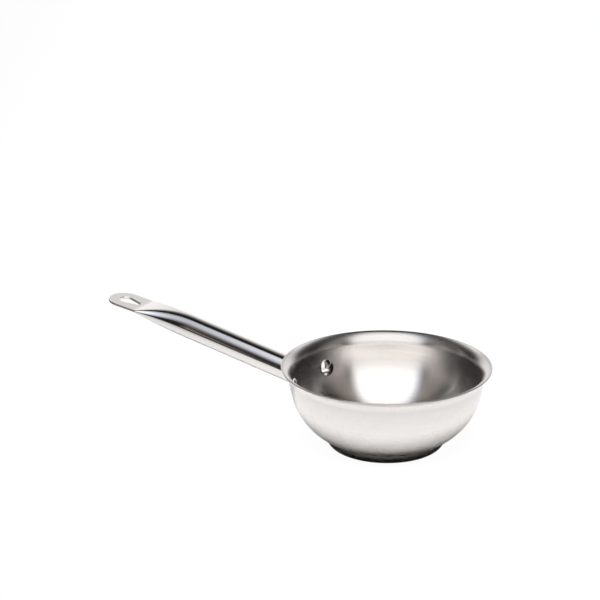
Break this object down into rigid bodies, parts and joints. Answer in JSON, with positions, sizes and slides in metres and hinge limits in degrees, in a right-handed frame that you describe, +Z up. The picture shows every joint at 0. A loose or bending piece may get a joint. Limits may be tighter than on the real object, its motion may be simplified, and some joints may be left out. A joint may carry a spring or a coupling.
{
  "type": "saucier pan",
  "caption": "Small round-bellied saucier pan of stainless steel with a flared pouring lip, a capsule base and a long tube handle that is pressed flat to a tab with a hanging eye.",
  "frame": {"origin": "on the bowl's axis, at the underside of the base", "axes": "+Z up along the bowl's axis, the handle points along -X"},
  "size_m": [0.3653, 0.175, 0.0822],
  "materials": {
    "bowl_steel": "stainless steel, spun brush lines inside, fine satin outside",
    "core_aluminium": "plain aluminium, hidden in the base",
    "base_steel": "stainless steel, turned satin",
    "saddle_steel": "stainless steel, satin",
    "handle_steel": "stainless steel, mirror polished",
    "rivet_steel": "stainless steel, polished"
  },
  "bodies": {
    "root": {"pan_bowl": "bowl_steel", "base_core": "core_aluminium", "base_capsule": "base_steel", "handle_saddle": "saddle_steel", "handle_tube": "handle_steel", "handle_rivet_left": "rivet_steel", "handle_rivet_right": "rivet_steel"}
  },
  "joints": []
}
